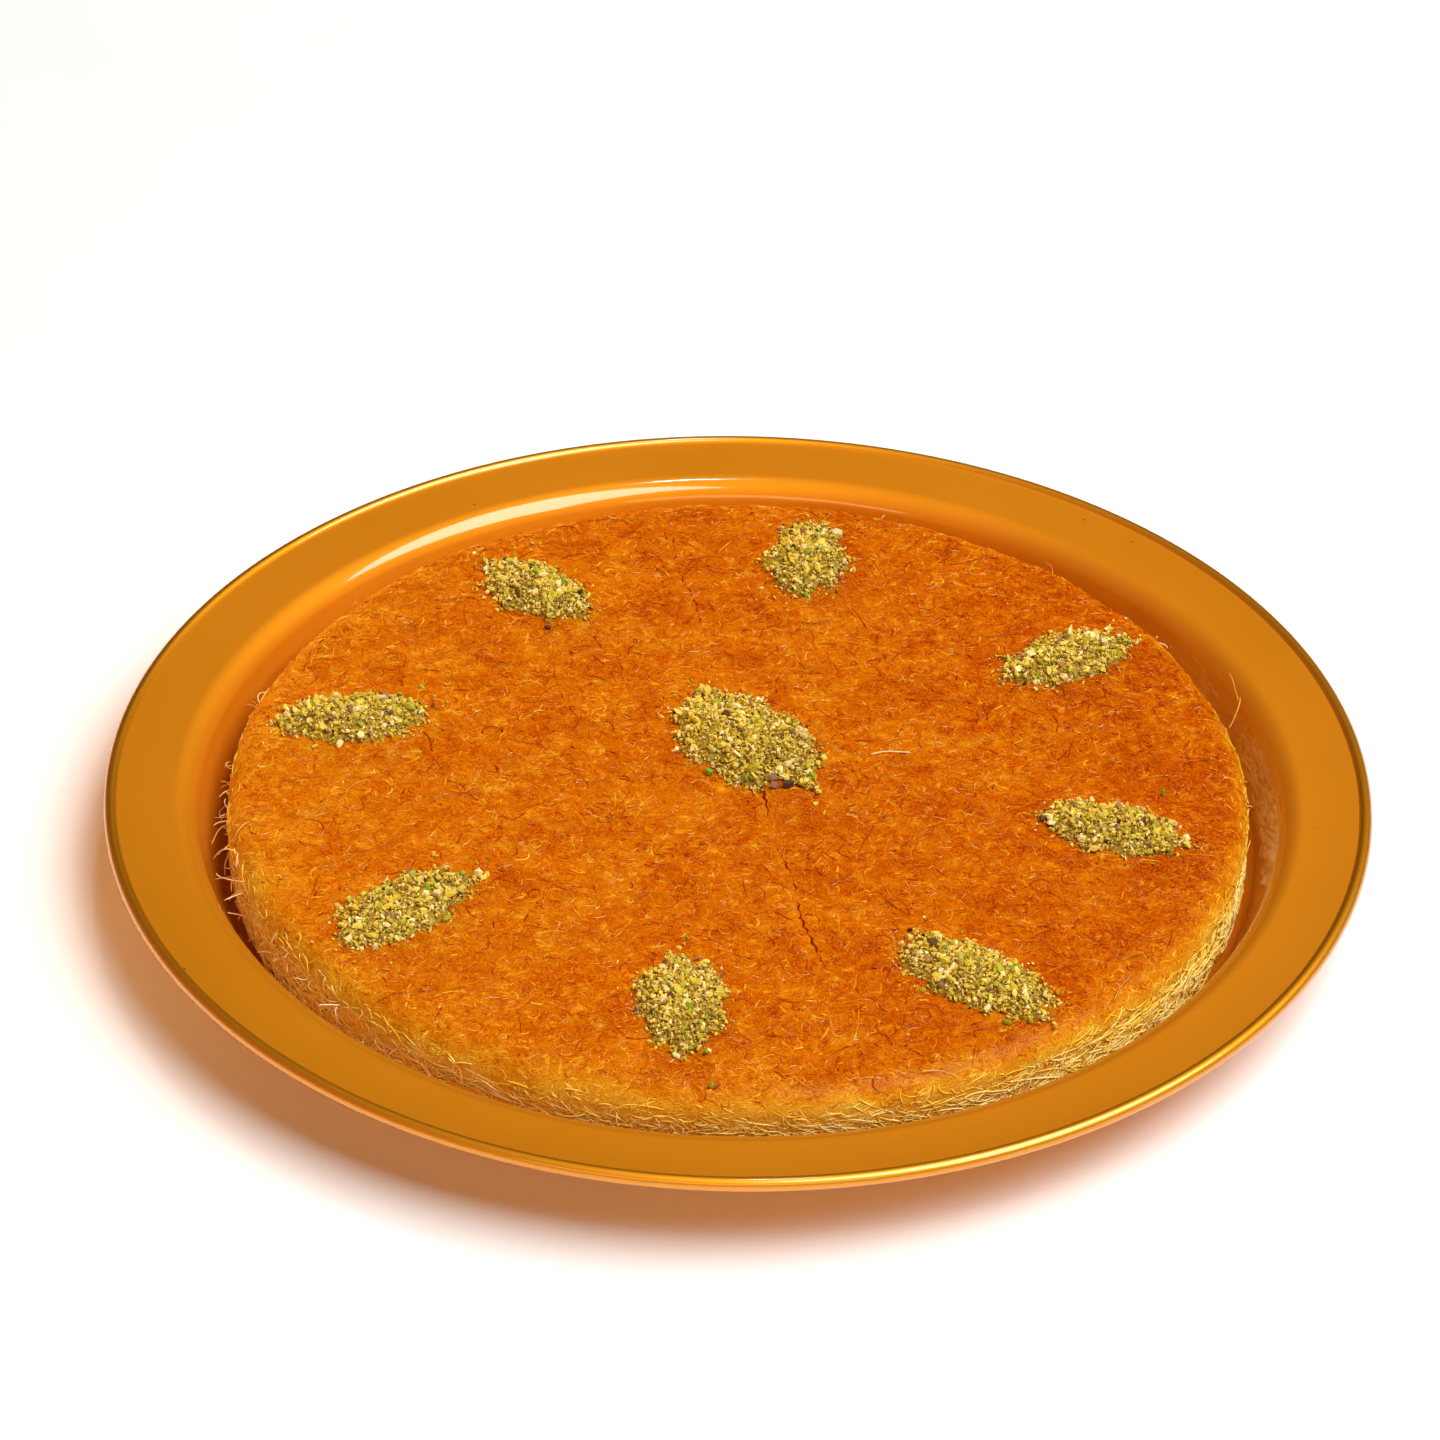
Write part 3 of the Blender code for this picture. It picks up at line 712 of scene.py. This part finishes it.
# Strands on the top: place (mm), heading (deg), length (mm), bow and sway (rad), height at the end (mm),
# and how far it is baked
FALLEN = np.array([
    (48.4, 13.3, 10, 13, -0.25, 0.15, 0.2, 0.1),
    (-40.0, -157.0, 55, 10, 0.6, 2.1, 0.3, 0.7),
    (161.0, 36.0, 56, 14, 0.5, 0.1, 3.0, 0.7),
    (162.5, 51.0, 75, 11, 0.9, 0.2, 3.5, 0.7),
    (61.0, -146.0, 8, 12, -0.7, 0.2, 0.5, 0.6),
    (118.0, -106.0, 50, 14, 0.5, 0.3, 0.8, 0.8),
])
FALLEN_R = 0.28 * MM


def sprung(starts, heading, side, length, turn, sway, points):
    """Strands (strand, point, 3) from their starts; each turns from its heading towards its side."""
    share = np.linspace(0, 1, points)
    bend = turn[:, None] * share + sway[:, None] * np.sin(math.tau * share)
    way = np.cos(bend)[..., None] * heading[:, None] + np.sin(bend)[..., None] * side[:, None]
    steps = way * (length / (points - 1))[:, None, None]
    return starts[:, None] + np.cumsum(steps, 1) - steps[:, :1]


def in_the_well(lines):
    """The same strands, kept about a millimetre clear of the tray's wall and floor."""
    wall = well_outline()[::-1]
    lines[..., 2] = np.maximum(lines[..., 2], SHEET + 1.5 * MM)
    flat = np.hypot(lines[..., 0], lines[..., 1])
    most = np.interp(lines[..., 2], wall[:, 1], wall[:, 0], right=1.0) - 0.9 * MM
    lines[..., :2] *= np.minimum(1, most / np.maximum(flat, MM))[..., None]
    return lines


def dry_thread_and_painted_glint():
    """A thread the syrup missed: cream where pale, pinkish amber where baked; short ones are painted glints.
    """
    material = new_material("dry_thread_and_painted_glint")
    stops = ((0.0, "F8E8C4"), (1.0, "C06C1C"), (0.5, "E8B45A"))
    shader = node(material, "BsdfPrincipled", {
        "Base Color": thread_colour(material, 4 * MM, 2.0, 0.15, stops),
        "Roughness": 0.45, "IOR": 1.45, "Specular IOR Level": 0.3})
    node(material, "OutputMaterial", {"Surface": shader.outputs["BSDF"]})
    return material


# The same material draws the pale strands and the painted glints
dry = dry_thread_and_painted_glint()
draw = np.random.default_rng(70)
crowded = draw.normal(SPRUNG_MOST_AT, 0.42, SPRUNG)
angle = np.where(draw.uniform(0, 1, SPRUNG) < SPRUNG_CROWDED, crowded, draw.uniform(0, math.tau, SPRUNG))
along = FLAT_R + draw.uniform(9, 22, SPRUNG) * MM
u, v = along * np.cos(angle), along * np.sin(angle)
starts = drape(u, v, np.full(SPRUNG, -1.2 * MM))
out = outward(u, v)
# Each strand leaves the edge partly outward and partly along it, and bends back in and down
round_it = np.stack([-np.sin(angle), np.cos(angle), 0 * angle], -1) * draw.choice([-1, 1], SPRUNG)[:, None]
steep = draw.uniform(0.25, 0.85, SPRUNG)[:, None]
heading = steep * out + (1 - steep) * round_it + np.array([0, 0, 0.15])
heading /= np.linalg.norm(heading, axis=1, keepdims=True)
back_in = draw.normal(0, 0.7, (SPRUNG, 3)) - np.array([0, 0, 0.8]) - 0.5 * out
side = np.cross(heading, np.cross(back_in, heading))
side /= np.linalg.norm(side, axis=1, keepdims=True)
length = thread_lengths(5.5, 0.45, 2.5, 14, SPRUNG, draw)
turn = draw.gamma(3.0, 0.7, SPRUNG).clip(0.6, 5.0)
lines = in_the_well(sprung(starts, heading, side, length, turn, draw.normal(0, 0.35, SPRUNG), SPRUNG_POINTS))
corners, faces = threads(lines, np.cross(heading, side)[:, None], draw.uniform(0.16, 0.24, SPRUNG) * MM)
tone = draw.normal(0.35, 0.2, (SPRUNG, 1)).clip(0, 1)
new_piece("sprung_strands", corners, faces, dry, "pastry", baked=per_corner(tone, SPRUNG_POINTS))

toward = np.radians(FALLEN[:, 2])
heading = np.stack([np.cos(toward), np.sin(toward), 0 * toward], 1)
side = np.stack([-np.sin(toward), np.cos(toward), 0 * toward], 1)
middle = np.column_stack([FALLEN[:, :2] * MM, np.full(len(FALLEN), KUNAFA_TOP)])
starts = middle - heading * FALLEN[:, 3:4] / 2 * MM
lines = sprung(starts, heading, side, FALLEN[:, 3] * MM, FALLEN[:, 4], FALLEN[:, 5], SPRUNG_POINTS)
lying = drape(lines[..., 0], lines[..., 1], np.zeros(lines.shape[:2]))
on_top = np.hypot(lines[..., 0], lines[..., 1]) < FLAT_R
lines[..., 2] = np.where(on_top, lying[..., 2], KUNAFA_TOP - 1.5 * MM)
lines[..., 2] += 0.25 * MM + FALLEN[:, 6:7] * MM * np.linspace(0, 1, SPRUNG_POINTS) ** 2
corners, faces = threads(lines, np.array([0.0, 0.0, 1.0]), np.full(len(FALLEN), FALLEN_R))
new_piece("fallen_strands", corners, faces, dry, "pastry", baked=per_corner(FALLEN[:, 7], SPRUNG_POINTS))

# Painted glints: short pale threads strewn over the top stand in for the syrup's gloss catching the light
length = thread_lengths(2.2, 0.45, 0.7, 4, GLINT_THREADS, draw)
turn = draw.uniform(0, math.tau, GLINT_THREADS)
lines = thread_lines(turn, GLINT_POINTS, length, draw.gamma(2.0, 0.3 / MM, GLINT_THREADS), draw)
reach = (FLAT_R + 3 * MM) * np.sqrt(draw.uniform(0, 1, GLINT_THREADS))
angle = draw.uniform(0, math.tau, GLINT_THREADS)
lines += (reach[:, None] * np.stack([np.cos(angle), np.sin(angle)], 1))[:, None]
place = drape(lines[..., 0], lines[..., 1], np.full(lines.shape[:2], 0.05 * MM))
place[..., 2] += fine_relief(place)
radius = draw.uniform(0.07, 0.11, GLINT_THREADS) * MM
corners, faces = threads(place, outward(lines[..., 0], lines[..., 1]), radius)
tone = draw.normal(0.45, 0.2, GLINT_THREADS)
new_piece("painted_glint_threads", corners, faces, dry, "pastry", baked=per_corner(tone, GLINT_POINTS))


# Pistachio heaps
# Pistachio kernels, crushed in a mortar and dropped on in pinches. Each heap is meal and broken pieces from
# half a millimetre up to 5 mm, mostly pale yellow-green kernel with bits of its purple skin.

MEAL_COLOURS = np.array([linear(code) for code in (
    "DFC24B", "CAAE33", "B48D29", "EBD691", "B4AA2E", "939119", "845F1E", "8F6947", "3C2516")])
MEAL_SHARES = (0.27, 0.22, 0.13, 0.14, 0.08, 0.04, 0.07, 0.03, 0.02)
PIECE_COLOURS = np.array([linear(code) for code in (
    "DFC853", "D3B73C", "EDDB95", "C4BB36", "A8AC25", "7E951B", "936B4B", "5D3A19")])
PIECE_SHARES = (0.30, 0.22, 0.18, 0.12, 0.07, 0.03, 0.05, 0.03)
MEAL_AREA = 0.62 * MM * MM  # heap area for each grain of meal
MEAL_R = (0.32 * MM, 0.85 * MM)
PIECE_AREA = 6.0 * MM * MM
PIECE_R = (0.58 * MM, 1.6 * MM)
MOUND_RINGS = 18
HEAP_SUNK = 0.9 * MM  # a heap reaches this far below the highest level of the top
RAGGED = 0.24  # how far the outline strays from a leaf
STRAYS = 60  # crumbs that rolled off each heap
# Crumbs that lie by themselves: place and radius (mm), colour
ALONE = (
    (-8.2, -141.3, 1.4, "8E9A1E"), (-6.5, -155.2, 1.2, "8A8C1C"), (134.0, -6.4, 1.2, "6E9420"),
    (-9.3, -0.8, 2.0, "7A9A1E"), (-63.3, 79.3, 1.0, "4A2A20"), (-20.3, 30.6, 1.4, "2E1A14"),
    (15.5, -7.0, 2.0, "4A2C24"), (11.5, -7.4, 1.6, "86645A"), (53.0, -80.3, 1.0, "3A1C10"),
)
GOLDEN = (1 + math.sqrt(5)) / 2  # the golden ratio, for the icosahedron


def crushed_pistachio():
    """Broken kernel: dull, slightly oily faces, each crumb its own tone with paler and darker specks."""
    material = new_material("crushed_pistachio")
    place = node(material, "TexCoord").outputs["Object"]
    kernel = node(material, "Attribute", attribute_name="kernel").outputs["Color"]
    speck = node(material, "TexNoise", {"Vector": place, "Scale": 1 / (0.7 * MM), "Detail": 3.0})
    tone = node(material, "MapRange", {"Value": speck.outputs["Fac"], "From Min": 0.25, "From Max": 0.75,
                "To Min": 0.82, "To Max": 1.14})
    lit = node(material, "VectorMath", {0: kernel, "Scale": tone.outputs["Result"]}, operation="SCALE")
    bump = node(material, "Bump", {"Height": speck.outputs["Fac"], "Strength": 0.4, "Distance": 0.3 * MM})
    shader = node(material, "BsdfPrincipled", {
        "Base Color": lit.outputs["Vector"], "Roughness": 0.6, "IOR": 1.47, "Specular IOR Level": 0.25,
        "Normal": bump.outputs["Normal"]})
    node(material, "OutputMaterial", {"Surface": shader.outputs["BSDF"]})
    return material


def octahedron():
    """The six corners and eight faces of the plainest grain."""
    corners = np.concatenate([np.eye(3), -np.eye(3)])
    faces = [(i, 1 + j, 2 + k) for i in (0, 3) for j in (0, 3) for k in (0, 3)]
    turned_in = [(i + j + k) % 2 for i in (0, 1) for j in (0, 1) for k in (0, 1)]
    return corners, np.array([face[::-1] if turn else face for face, turn in zip(faces, turned_in)])


def icosahedron():
    """The twelve corners and twenty faces of a regular solid of triangles, one unit from its middle."""
    corners = np.array([(s, t * GOLDEN, 0) for s in (-1, 1) for t in (-1, 1)])
    corners = np.concatenate([corners, np.roll(corners, 1, 1), np.roll(corners, 2, 1)])
    corners = corners / np.linalg.norm(corners[0])
    near = np.linalg.norm(corners[:, None] - corners, axis=-1) < 1.2
    faces = []
    for a in range(12):
        for b in range(a + 1, 12):
            for c in range(b + 1, 12):
                if near[a, b] and near[b, c] and near[a, c]:
                    out = np.dot(np.cross(corners[b] - corners[a], corners[c] - corners[a]), corners[a])
                    faces.append((a, b, c) if out > 0 else (a, c, b))
    return corners, np.array(faces)


def crumbs(solid, places, sizes, draw):
    """Corners and triangles of broken crumbs, each an uneven, flattened and turned copy of the solid."""
    ball, ball_faces = solid
    count = len(sizes)
    shape = ball * draw.uniform(0.6, 1.3, (count, len(ball), 1))
    shape *= np.stack([draw.uniform(0.9, 1.6, count), draw.uniform(0.7, 1.1, count),
                       draw.uniform(0.45, 0.8, count)], 1)[:, None]
    axes = np.linalg.qr(draw.normal(0, 1, (count, 3, 3)))[0]
    axes[np.linalg.det(axes) < 0, :, 0] *= -1
    corners = np.einsum("nij,nkj->nki", axes, shape) * sizes[:, None, None] + places[:, None]
    faces = np.arange(count)[:, None, None] * len(ball) + ball_faces
    return corners.reshape(-1, 3), faces.reshape(-1, 3)


def crumb_colours(colours, shares, count, corners, draw):
    """A colour for each crumb by its share of the heap, uneven in tone, repeated for its corners."""
    picked = colours[draw.choice(len(colours), count, p=shares)].copy()
    picked[:, :3] *= draw.normal(1, 0.10, (count, 1)).clip(0.6, 1.4)
    return np.repeat(picked, corners, axis=0)


def joined(parts):
    """One mesh's corners, triangles and colours from a list of several."""
    corners, faces, colours = zip(*parts)
    starts = np.cumsum([0] + [len(some) for some in corners[:-1]])
    faces = [some + start for some, start in zip(faces, starts)]
    return np.concatenate(corners), np.concatenate(faces), np.concatenate(colours)


def heap_ground(heap, share, angle):
    """Places (x, y) in the heap for a share of the way out and a direction, within its ragged outline."""
    middle, along, across = heap_frame(heap)
    leaf = (np.abs(np.cos(angle)) ** HEAP_CURVE + np.abs(np.sin(angle)) ** HEAP_CURVE) ** (-1 / HEAP_CURVE)
    leaf *= 0.98 + RAGGED * rough(np.cos(angle), np.sin(angle), 0.37 * heap[0], 0.35, 3)
    x, y = share * leaf * np.cos(angle) * heap[2] * MM / 2, share * leaf * np.sin(angle) * heap[3] * MM / 2
    return middle + x[..., None] * along + y[..., None] * across


def heap_height(heap, share):
    """Height of the meal's surface at a share of the way out."""
    return KUNAFA_TOP + heap[4] * MM * 0.70 * (1 - np.minimum(share, 1) ** 2)


def heap_mound(heap):
    """The finest meal under the crumbs: a low uneven cap, closed below."""
    flat, faces = disc_net(MOUND_RINGS, 1.0)
    share = np.hypot(*flat.T)
    ground = heap_ground(heap, 0.95 * share, np.arctan2(flat[:, 1], flat[:, 0]))
    uneven = 0.6 * MM * rough(ground[:, 0], ground[:, 1], 0.0, 2 * MM, 2) * (share < 0.99)
    upper = np.column_stack([ground, heap_height(heap, share) + uneven - 0.3 * MM])
    lower = np.array([[*heap_frame(heap)[0], KUNAFA_TOP - HEAP_SUNK]])
    rim = np.arange(len(flat) - 6 * MOUND_RINGS, len(flat))
    under = np.stack([np.full(len(rim), len(flat)), np.roll(rim, -1), rim], 1)
    return np.concatenate([upper, lower]), np.concatenate([faces, under])


pistachio = crushed_pistachio()
grain, broken = octahedron(), icosahedron()
rolled = []
for seed, (name, heap) in enumerate(HEAPS.items()):
    draw = np.random.default_rng(80 + seed)
    area = math.pi / 4 * heap[2] * heap[3] * MM * MM
    mound_corners, mound_faces = heap_mound(heap)
    # The mound is drawn darker than the meal, as painted shade in the gaps between the crumbs
    parts = [(mound_corners, mound_faces, np.tile(np.array(linear("A08028")), (len(mound_corners), 1)))]
    # Meal all over the mound, then the broken pieces
    for solid, spacing, limits, colours, shares in (
            (grain, MEAL_AREA, MEAL_R, MEAL_COLOURS, MEAL_SHARES),
            (broken, PIECE_AREA, PIECE_R, PIECE_COLOURS, PIECE_SHARES)):
        count = int(area / spacing)
        sizes = (1.55 * limits[0] * draw.lognormal(0, 0.35, count)).clip(*limits)
        share = draw.uniform(0, 1, count) ** 0.55 * draw.normal(1, 0.05, count)
        ground = heap_ground(heap, share, draw.uniform(0, math.tau, count))
        z = heap_height(heap, share) + sizes * draw.uniform(-0.1, 0.7, count)
        corners, faces = crumbs(solid, np.column_stack([ground, z]), sizes, draw)
        parts.append((corners, faces, crumb_colours(colours, shares, count, len(solid[0]), draw)))
    corners, faces, kernel = joined(parts)
    # No crumb stands above the highest solid heap
    corners[:, 2] = corners[:, 2].clip(KUNAFA_TOP - HEAP_SUNK, cad_box[1][2])
    piece = new_piece(name + "_crumbs", corners, faces, pistachio, "pistachio", smooth=False, kernel=kernel)
    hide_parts(name)

    sizes = (0.36 * MM * draw.lognormal(0, 0.5, STRAYS)).clip(0.25 * MM, 1.3 * MM)
    share = 1.0 + draw.exponential(0.16, STRAYS).clip(0, 0.7)
    ground = heap_ground(heap, share, draw.uniform(0, math.tau, STRAYS))
    z = top_height(ground[:, 0], ground[:, 1]) - FINE_DEPTH + 0.5 * sizes
    corners, faces = crumbs(broken, np.column_stack([ground, z]), sizes, draw)
    rolled.append((corners, faces, crumb_colours(PIECE_COLOURS, PIECE_SHARES, STRAYS, 12, draw)))

alone = np.array([crumb[:3] for crumb in ALONE]) * MM
z = top_height(alone[:, 0], alone[:, 1]) - FINE_DEPTH + 0.5 * alone[:, 2]
corners, faces = crumbs(broken, np.column_stack([alone[:, :2], z]), alone[:, 2], draw)
rolled.append((corners, faces, np.repeat([linear(crumb[3]) for crumb in ALONE], 12, axis=0)))
corners, faces, kernel = joined(rolled)
new_piece("rolled_crumbs", corners, faces, pistachio, "pistachio", smooth=False, kernel=kernel)


# Floor
# A plain pale table top of smooth laminated board, on which the tray stands. It is so large that its edges
# are never in view.

FLOOR_HALF = 4.0


def matt_white_laminate():
    """A pale smooth board with the faintest grain."""
    material = new_material("matt_white_laminate")
    place = node(material, "TexCoord").outputs["Object"]
    grain_noise = node(material, "TexNoise", {"Vector": place, "Scale": 1 / (90 * MM), "Detail": 4.0})
    board = node(material, "ValToRGB", {"Fac": grain_noise.outputs["Fac"]},
                 stops=[(0.3, "EFF1F4"), (0.7, "F1F3F6")])
    shader = node(material, "BsdfPrincipled", {"Base Color": board.outputs["Color"], "Roughness": 0.7})
    node(material, "OutputMaterial", {"Surface": shader.outputs["BSDF"]})
    return material


floor_mesh = bpy.data.meshes.new("floor")
floor_corners = [(x * FLOOR_HALF, y * FLOOR_HALF, 0) for x, y in ((-1, -1), (1, -1), (1, 1), (-1, 1))]
floor_mesh.from_pydata(floor_corners, [], [(0, 1, 2, 3)])
floor_mesh.materials.append(matt_white_laminate())
floor = bpy.data.objects.new("floor", floor_mesh)
floor.location.z = -0.1 * MM
bpy.context.scene.collection.objects.link(floor)


# Light
# A large soft lamp high at the right, a small one high behind that draws the sharp highlights on lacquer and
# syrup, a low warm one in front for the shade, and a warm one low behind at the left that lights only what
# is matt. The room is warm, and brighter at the left.


def softbox(name, azimuth, elevation, distance, size, power, code, glossy=True):
    """A rectangular lamp that faces the tray, seen in gloss or not; azimuth counts from +X towards +Y."""
    lamp = bpy.data.lights.new(name, "AREA")
    lamp.shape = "RECTANGLE"
    lamp.size, lamp.size_y = size
    lamp.energy = power
    lamp.color = linear(code)[:3]
    made = bpy.data.objects.new(name, lamp)
    a, e = math.radians(azimuth), math.radians(elevation)
    made.location = distance * Vector((math.cos(a) * math.cos(e), math.sin(a) * math.cos(e), math.sin(e)))
    made.rotation_euler = made.location.to_track_quat("Z", "Y").to_euler()
    made.visible_glossy = glossy
    bpy.context.scene.collection.objects.link(made)


softbox("key", -18, 62, 4.2, (3.5, 2.8), 260, "FDFCFA")
softbox("spot", 84, 68, 2.4, (0.1, 0.1), 3, "FFFFFF")
softbox("fill", -95, 30, 3.0, (3.0, 0.6), 19, "FFDCA8")
softbox("wall", 116, 14, 2.5, (2.0, 1.0), 72, "FFB468", glossy=False)

world = bpy.data.worlds.new("warm_room")
world.use_nodes = True
world.node_tree.nodes.clear()
way = node(world, "TexCoord").outputs["Generated"]
facing = node(world, "VectorMath", {0: way, 1: (-0.90, -0.25, 0.35)}, operation="DOT_PRODUCT")
strength = node(world, "MapRange", {"Value": facing.outputs["Value"], "From Min": 0.30, "From Max": 1.0,
                "To Min": 0.03, "To Max": 0.42})
room = node(world, "Background", {"Color": linear("FFB468"), "Strength": strength.outputs["Result"]})
node(world, "OutputWorld", {"Surface": room.outputs["Background"]})
bpy.context.scene.world = world
bpy.context.scene.view_settings.view_transform = "Standard"


# Camera
# It stands in front of the tray and looks down on it through a long lens, as the photograph was taken. Its
# place and its turns were worked out from the outline of the tray.

CAMERA_PLACE = Vector((0, -1374.6, 1026.8)) * MM
CAMERA_DOWN = 0.61835  # radians below the horizon
CAMERA_YAW = -0.00441
CAMERA_ROLL = 0.01419
FRAME_PIXELS = 1440
FOCAL_PIXELS = 5369.2

lens = bpy.data.cameras.new("camera")
lens.sensor_width = 36.0
lens.lens = FOCAL_PIXELS / FRAME_PIXELS * lens.sensor_width
lens.clip_end = 100.0
camera = bpy.data.objects.new("camera", lens)
tilt = Matrix.Rotation(math.pi / 2 - CAMERA_DOWN, 4, "X") @ Matrix.Rotation(CAMERA_ROLL, 4, "Z")
camera.matrix_world = Matrix.Translation(CAMERA_PLACE) @ Matrix.Rotation(-CAMERA_YAW, 4, "Z") @ tilt
bpy.context.scene.collection.objects.link(camera)
bpy.context.scene.camera = camera
